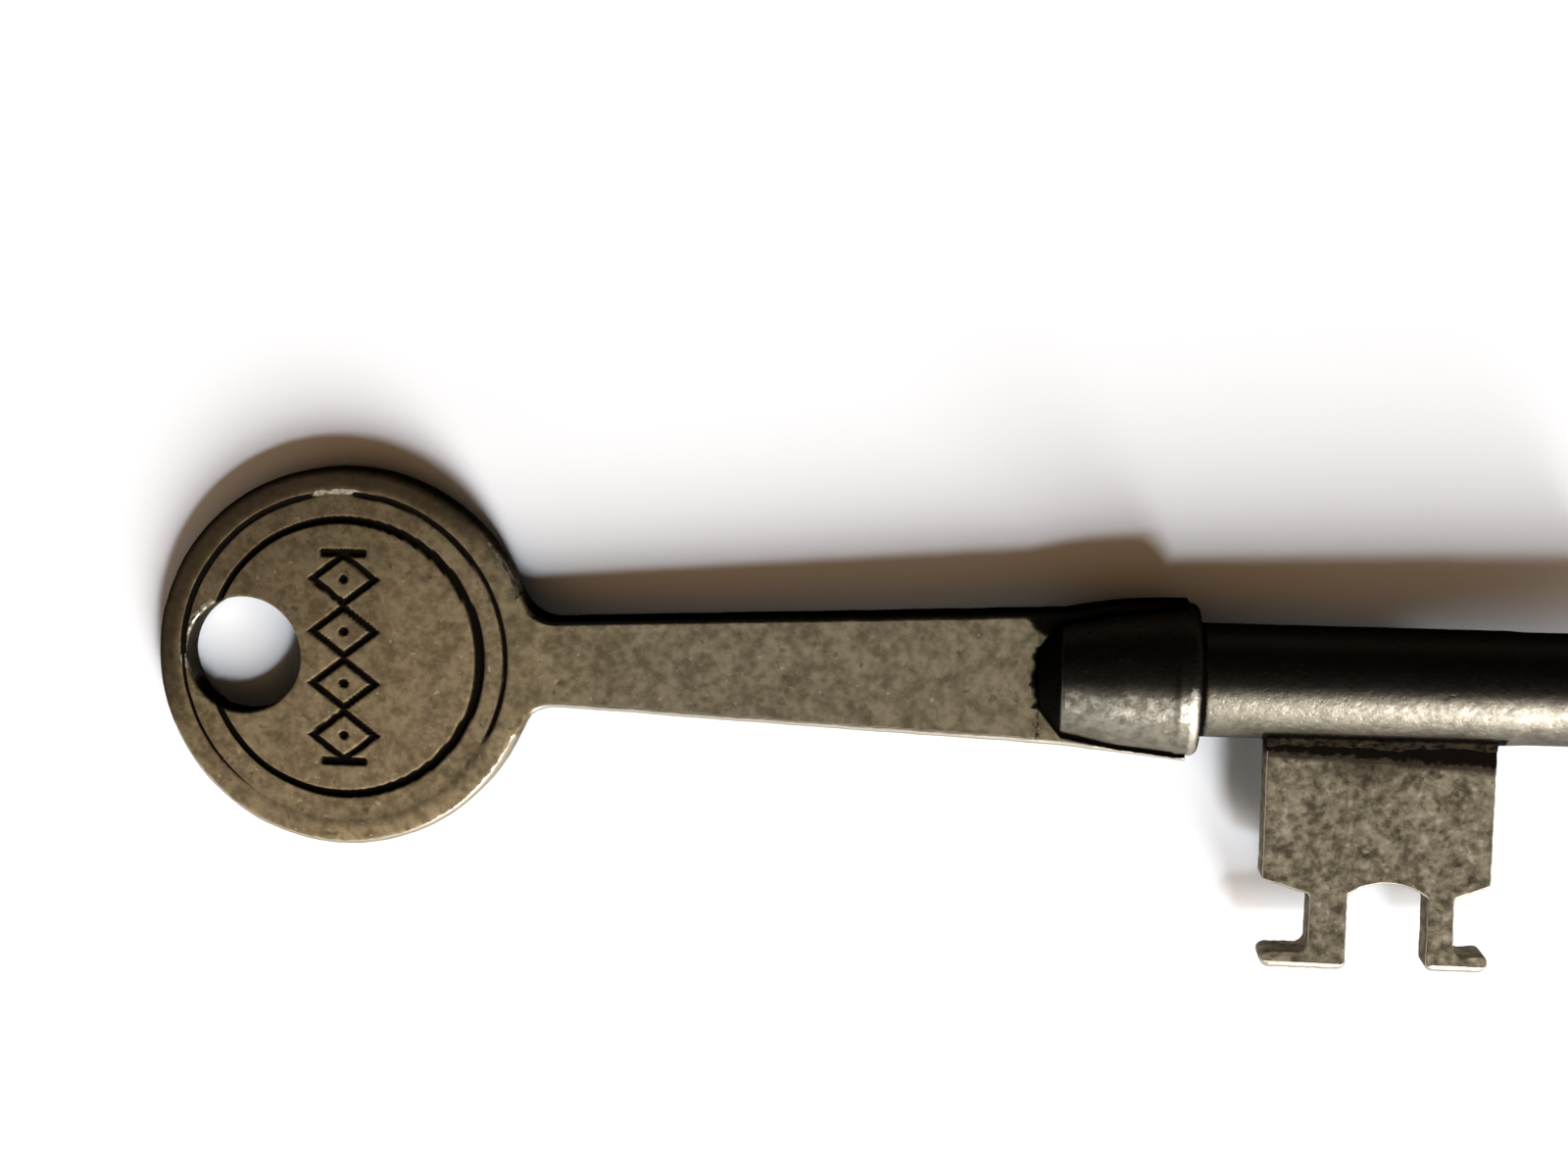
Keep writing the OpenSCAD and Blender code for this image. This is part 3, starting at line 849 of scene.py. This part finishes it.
def clouds(tree, vector, scale, detail, distortion=0.0):
    """Cloudy noise round 0.5. The scale is in clouds to the millimetre."""
    inputs = {"Vector": vector, "Scale": scale, "Detail": detail, "Distortion": distortion}
    inputs["Roughness"] = 0.62
    return add(tree, "TexNoise", inputs).outputs["Fac"]


# %% Cloudy film
film, given, result = new_group(
    "cloudy_film",
    [("Place", "Vector"), ("Broad", "Float"), ("Fine", "Float")],
    [("Film", "Float"), ("Grain", "Float")],
)
broad = clouds(film, given["Place"], given["Broad"], 3.0, 0.4)
fine = clouds(film, given["Place"], given["Fine"], 5.0)
blend = math(film, "ADD", math(film, "MULTIPLY", broad, 0.45), math(film, "MULTIPLY", fine, 0.55))
film.links.new(ramp(film, blend, 0.36, 0.64), result["Film"])
film.links.new(fine, result["Grain"])

# %% Flecks
flecks, given, result = new_group(
    "flecks", [("Place", "Vector"), ("Scale", "Float"), ("Amount", "Float")], [("Mask", "Float")]
)
crumbs = clouds(flecks, given["Place"], given["Scale"], 1.5)
flecks.links.new(ramp(flecks, math(flecks, "ADD", crumbs, given["Amount"]), 0.7, 0.78), result["Mask"])

# %% Masks for dirt and painted shade, and for rubbing and painted highlights, with broken edges
edges, given, result = new_group(
    "broken_edge", [("Place", "Vector"), ("Amount", "Float"), ("Scale", "Float")], [("Mask", "Float")]
)
breakup = clouds(edges, given["Place"], given["Scale"], 4.0)
swing = math(edges, "MULTIPLY", math(edges, "SUBTRACT", breakup, 0.5), 1.1)
raised = math(edges, "ADD", given["Amount"], swing)
edges.links.new(ramp(edges, raised, 0.48, 0.75), result["Mask"])

# %% Height of the skin
skin, given, result = new_group(
    "skin_height",
    [("Place", "Vector"), ("Grain", "Float"), ("Pits", "Float"), ("Scratches", "Float")],
    [("Height", "Float")],
)
grain = math(skin, "MULTIPLY", clouds(skin, given["Place"], 3.2, 3.0), given["Grain"])
holes = add(skin, "TexVoronoi", {"Vector": given["Place"], "Scale": 2.6, "Randomness": 1.0})
hollow = ramp(skin, holes.outputs["Distance"], 0.05, 0.3)
pits = math(skin, "MULTIPLY", hollow, given["Pits"])
slanted = {"Vector": given["Place"], "Rotation": (0, 0, 0.35), "Scale": (0.5, 9.0, 1.0)}
streaks = add(skin, "Mapping", slanted).outputs["Vector"]
lines = ramp(skin, clouds(skin, streaks, 1.0, 2.0), 0.64, 0.72)
scratches = math(skin, "MULTIPLY", lines, given["Scratches"])
total = math(skin, "SUBTRACT", math(skin, "ADD", grain, pits), scratches)
skin.links.new(total, result["Height"])
print("groups:", [group.name for group in (film, flecks, edges, skin)])

# %% [markdown]
# ## The metals
#
# The same recipe gives every metal of the key. A cloudy film goes from a dark to a middle tone, light
# flecks and dark specks lie on it, rubbed edges and painted highlights are lighter and smoother, and
# dirt and painted shade are nearly black and dull. A lighter painted shade turns the film towards the
# speck tone. The flat cast faces have a dull film that spreads the light. The round parts are rubbed
# smoother, so that they show a bright band and turn dark quickly beside it.


# %% One recipe for the metals
def aged_metal(name, look):
    """A material from a cloudy film, flecks, specks, rubbed places and dirt, laid over each other.
    The rubbed layer also lays on painted highlights, and the dirt layer painted shade.
    """
    material = bpy.data.materials.new(name)
    material.use_nodes = True
    tree = material.node_tree
    shader = tree.nodes["Principled BSDF"]
    coordinates = add(tree, "TexCoord").outputs["Object"]
    place = add(tree, "VectorMath", {0: coordinates, "Scale": 1000.0}, operation="SCALE").outputs[0]
    wear_and_highlight = add(tree, "Attribute", attribute_name="wear_and_highlight").outputs["Fac"]
    grime_and_shade = add(tree, "Attribute", attribute_name="grime_and_shade").outputs["Fac"]

    clouded = place_group(tree, film, {"Place": place, "Broad": look["broad"], "Fine": look["fine"]})
    light, dark = (
        place_group(tree, flecks, {"Place": place, "Scale": look[scale], "Amount": look[amount]})["Mask"]
        for scale, amount in (("fleck_scale", "flecks"), ("speck_scale", "specks"))
    )
    rubbed_and_highlight = place_group(tree, edges, {"Place": place, "Amount": wear_and_highlight, "Scale": 1.9})["Mask"]
    dirt_and_shade = place_group(tree, edges, {"Place": place, "Amount": grime_and_shade, "Scale": 2.7})["Mask"]

    # The layers of colour, from the film at the bottom to the dirt on top. The speck, rubbed and dirt
    # tones also paint shade and highlights where the grime and wear attributes carry them.
    colour = mix_colour(tree, clouded["Film"], look["dark"], look["middle"])
    colour = mix_colour(tree, math(tree, "MULTIPLY", dark, 0.5), colour, look["speck_and_shade"])
    colour = mix_colour(tree, math(tree, "MULTIPLY", light, 0.6), colour, look["light"])
    # Painted shade: a moderate grime value darkens the colour towards the speck tone.
    shade_and_film = math(tree, "MULTIPLY", ramp(tree, grime_and_shade, 0.0, 0.4), 0.9)
    colour = mix_colour(tree, shade_and_film, colour, look["speck_and_shade"])
    near_bow = ramp(tree, add(tree, "SeparateXYZ", {0: place}).outputs["X"], 24.0, 6.0)
    browner = {0: near_bow, 6: colour, 7: (1.3, 1.17, 1.02, 1)}
    colour = add(tree, "Mix", browner, data_type="RGBA", blend_type="MULTIPLY").outputs[2]
    colour = mix_colour(tree, rubbed_and_highlight, colour, look["rubbed_and_highlight"])
    colour = mix_colour(tree, dirt_and_shade, colour, look["dirt_and_shade"])

    # Rubbed places and painted highlights are smoother and fully metal. Dirt and painted shade are
    # rougher and less so.
    roughness = between(tree, clouded["Grain"], look["rough"] + 0.16, look["rough"] - 0.16)
    smoother = math(tree, "MULTIPLY", rubbed_and_highlight, look["rough"] - look["rubbed_rough"])
    roughness = math(tree, "SUBTRACT", roughness, smoother)
    roughness = math(tree, "ADD", roughness, math(tree, "MULTIPLY", dirt_and_shade, 0.3))
    metal = math(tree, "MAXIMUM", rubbed_and_highlight, look["metal"])
    metal = math(tree, "SUBTRACT", metal, math(tree, "MULTIPLY", dirt_and_shade, 0.6))
    tree.links.new(colour, shader.inputs["Base Color"])
    tree.links.new(roughness, shader.inputs["Roughness"])
    tree.links.new(metal, shader.inputs["Metallic"])

    # Handling has left a thin clear film on the round parts. It is missing where dirt and painted
    # shade lie.
    if look["coat"] > 0:
        tree.links.new(between(tree, dirt_and_shade, look["coat"], 0.0), shader.inputs["Coat Weight"])
        shader.inputs["Coat Roughness"].default_value = look["coat_rough"]
        shader.inputs["Coat IOR"].default_value = 1.7
    shader.inputs["Specular IOR Level"].default_value = 0.15
    shader.inputs["Specular Tint"].default_value = look["edge"]

    heights = {"Grain": look["grain"], "Pits": look["pits"], "Scratches": look["scratches"]}
    height = place_group(tree, skin, {"Place": place, **heights})["Height"]
    bump = add(tree, "Bump", {"Height": height, "Distance": MM, "Strength": 1.0})
    tree.links.new(bump.outputs["Normal"], shader.inputs["Normal"])
    return material


def grey(level, green=0.8, blue=0.5):
    """A brass tone: full red at the given level, less green and still less blue."""
    return (level, level * green, level * blue, 1)


cast_face = {
    "broad": 0.75,
    "fine": 2.0,
    "dark": grey(0.12, 0.77, 0.45),
    "middle": grey(0.26, 0.8, 0.5),
    "light": grey(0.42, 0.86, 0.66),
    "speck_and_shade": grey(0.03, 0.68, 0.38),
    "rubbed_and_highlight": grey(0.55, 0.88, 0.7),
    "dirt_and_shade": grey(0.003, 0.66, 0.4),
    "edge": (0.6, 0.55, 0.45, 1),
    "fleck_scale": 2.6,
    "flecks": 0.02,
    "speck_scale": 1.5,
    "specks": 0.04,
    "coat": 0,
    "rough": 0.68,
    "rubbed_rough": 0.36,
    "metal": 0.5,
    "grain": 0.012,
    "pits": 0.0,
    "scratches": 0.002,
}
filed_face = {
    **cast_face,
    "broad": 1.3,
    "fine": 2.2,
    "dark": grey(0.085, 0.78, 0.48),
    "middle": grey(0.315, 0.83, 0.56),
    "fleck_scale": 2.2,
    "flecks": 0.06,
    "specks": 0.06,
    "grain": 0.018,
}
round_part = {
    **cast_face,
    "broad": 0.8,
    "fine": 3.0,
    "dark": grey(0.11, 0.84, 0.58),
    "middle": grey(0.22, 0.87, 0.64),
    "light": grey(0.35, 0.9, 0.72),
    "speck_and_shade": grey(0.03, 0.8, 0.55),
    "rubbed_and_highlight": grey(0.3, 0.9, 0.74),
    "rough": 0.42,
    "coat": 0.5,
    "coat_rough": 0.34,
    "metal": 1.0,
    "edge": (0.25, 0.22, 0.17, 1),
    "grain": 0.02,
    "pits": 0.006,
    "scratches": 0.003,
}
collar_part = {
    **round_part,
    "broad": 0.6,
    "fine": 2.0,
    "dark": grey(0.13, 0.85, 0.6),
    "middle": grey(0.3, 0.88, 0.67),
    "rubbed_and_highlight": grey(0.5, 0.91, 0.74),
    "rough": 0.44,
    "rubbed_rough": 0.46,
    "grain": 0.016,
}
braze_face = {
    **cast_face,
    "dark": grey(0.015, 0.7, 0.4),
    "middle": grey(0.05, 0.74, 0.42),
    "rough": 0.75,
}

cast_metal = aged_metal("cast_brass", cast_face)
filed_metal = aged_metal("filed_brass", filed_face)
round_metal = aged_metal("rubbed_brass", round_part)
braze_metal = aged_metal("braze", braze_face)
collar_metal = aged_metal("collar_brass", collar_part)
metals = {bow: cast_metal, blade: cast_metal, collar: collar_metal, stem: round_metal, bit: filed_metal}
metals.update(dict.fromkeys(braze, braze_metal))
for piece, metal in metals.items():
    piece.data.materials.append(metal)
print("materials:", {piece.name: metal.name for piece, metal in metals.items()})

# %% [markdown]
# ## Table, camera and light
#
# The key lies on a white table. It rests on its collar and on the far edge of its bow, so the table
# is tilted a few degrees under the level key. The camera looks almost straight down at it.


# %% The table under the key
def table_height(x, y):
    """Height in millimetres of the plane under the key that touches the collar and the bow."""
    return -1.42 - 0.05036 * x - 0.0181 * y


TABLE_REACH = 900.0
around = np.array([(-1, -1), (1, -1), (1, 1), (-1, 1)]) * TABLE_REACH
corners = np.array([(x, y, table_height(x, y)) for x, y in around])
table_mesh = bpy.data.meshes.new("table")
table_mesh.from_pydata((corners * MM).tolist(), [], [[0, 1, 2, 3]])
table = bpy.data.objects.new("table", table_mesh)
bpy.context.collection.objects.link(table)

# %% [markdown]
# The table is plain white paint. Yet in the photograph the sides of the key that turn to the near
# table are almost black. So the table shows its white to the camera only. The metal sees it in a dark
# tone beside the key, and lighter on the window's side.
# The light that the room sends into the shadow is painted as a weak brown glow, for the camera only.
# It fades where the key stands close, as the Ambient Occlusion node measures.

# %% White for the camera, dim for the metal
paint = bpy.data.materials.new("table_white")
paint.use_nodes = True
tree = paint.node_tree
seen = add(tree, "LightPath").outputs["Is Camera Ray"]
spot = add(tree, "SeparateXYZ", {0: add(tree, "TexCoord").outputs["Object"]}).outputs["Y"]
far = mix_colour(tree, ramp(tree, spot, 0.012, 0.05), (0.02, 0.016, 0.012, 1), (0.12, 0.1, 0.08, 1))
dim = mix_colour(tree, ramp(tree, spot, -0.0025, -0.0075), far, (0.8, 0.79, 0.76, 1))
opening = add(tree, "AmbientOcclusion", {"Distance": 0.008}, samples=16).outputs["AO"]
open_glow = mix_colour(tree, ramp(tree, opening, 0.4, 0.9), (0, 0, 0, 1), (0.13, 0.076, 0.036, 1))
shader = tree.nodes["Principled BSDF"]
tree.links.new(mix_colour(tree, seen, (0, 0, 0, 1), open_glow), shader.inputs["Emission Color"])
shader.inputs["Emission Strength"].default_value = 1.0
tree.links.new(mix_colour(tree, seen, dim, (0.9, 0.9, 0.91, 1)), shader.inputs["Base Color"])
shader.inputs["Roughness"].default_value = 0.9
shader.inputs["Specular IOR Level"].default_value = 0.0
table.data.materials.append(paint)

# %% [markdown]
# The camera's place and direction were fitted until the key's outline fell on the photographed one.
# Its angle of view follows from half the image's width and the focal length, both in pixels.

# %% The camera
CAMERA_PLACE = (38.502, 18.116, 123.257)
HALF_IMAGE_WIDTH, FOCAL_LENGTH = 800, 2500

camera_data = bpy.data.cameras.new("camera")
camera_data.sensor_fit = "HORIZONTAL"
camera_data.angle = 2 * np.arctan(HALF_IMAGE_WIDTH / FOCAL_LENGTH)
camera_data.clip_start = 0.005
camera = bpy.data.objects.new("camera", camera_data)
bpy.context.collection.objects.link(camera)
right = (0.9960, 0.01634, -0.0878)
up = (-0.02608, 0.99348, -0.11094)
back = (0.08542, 0.11279, 0.98994)
turn = Matrix((right, up, back)).transposed().to_4x4()
camera.matrix_world = Matrix.Translation(Vector(CAMERA_PLACE) * MM) @ turn
bpy.context.scene.camera = camera
print("camera", CAMERA_PLACE, "mm")

# %% [markdown]
# The photograph has the light of a tall window beside the table. One tall lamp gives the long soft
# shadow and the bright band on the round parts. A small cooler lamp above it stands for the window's
# upper end. Its shadow is shorter, so the key's shadow has two steps: deep near the key, where both
# lamps are hidden, and pale beyond. This lamp doesn't show in the metal, because the round parts of
# the real key show only one band. The room is bright low on the window's side and dim elsewhere.


# %% The lamps
KEY_MIDDLE = (0.035, 0, 0)


def add_lamp(name, elevation, bearing, width, height, watts, colour, distance=1.5):
    """A window on a sphere round the key, at a bearing from +X towards +Y, turned to face the key."""
    data = bpy.data.lights.new(name, "AREA")
    data.shape = "RECTANGLE"
    data.size, data.size_y = width, height
    data.energy = watts
    data.color = colour
    lamp = bpy.data.objects.new(name, data)
    bpy.context.collection.objects.link(lamp)
    e, b = np.radians(elevation), np.radians(bearing)
    direction = Vector((np.cos(e) * np.cos(b), np.cos(e) * np.sin(b), np.sin(e)))
    lamp.location = Vector(KEY_MIDDLE) + direction * distance
    lamp.rotation_euler = direction.to_track_quat("Z", "Y").to_euler()
    return lamp


add_lamp("window", 35, -62, 0.36, 0.9, 26, (1.0, 1.0, 1.0))
top = add_lamp("window_top", 54.3, -58, 0.3, 0.115, 9.8, (0.89, 0.97, 1.06))
top.visible_glossy = False
print("lamps:", [lamp.name for lamp in bpy.data.lights])

# %% The room
world = bpy.data.worlds.new("room")
bpy.context.scene.world = world
world.use_nodes = True
tree = world.node_tree
direction = add(tree, "TexCoord").outputs["Generated"]
to_window = {0: direction, 1: (-0.1, -0.99, 0)}
window_side = add(tree, "VectorMath", to_window, operation="DOT_PRODUCT").outputs["Value"]
height = add(tree, "SeparateXYZ", {0: direction}).outputs["Z"]
bright = math(tree, "MULTIPLY", ramp(tree, window_side, 0.0, 0.7), ramp(tree, height, 0.65, 0.35))
ceiling, far_wall, window_wall = (0.01, 0.008, 0.006, 1), (0.07, 0.06, 0.048, 1), (1.3, 1.34, 1.36, 1)
dim_room = mix_colour(tree, ramp(tree, height, 0.35, 0.05), ceiling, far_wall)
room = mix_colour(tree, bright, dim_room, window_wall)
seen = mix_colour(tree, add(tree, "LightPath").outputs["Is Camera Ray"], room, (1, 1, 1, 1))
tree.links.new(seen, tree.nodes["Background"].inputs["Color"])
tree.nodes["Background"].inputs["Strength"].default_value = 1.0
bpy.context.scene.view_settings.view_transform = "Standard"
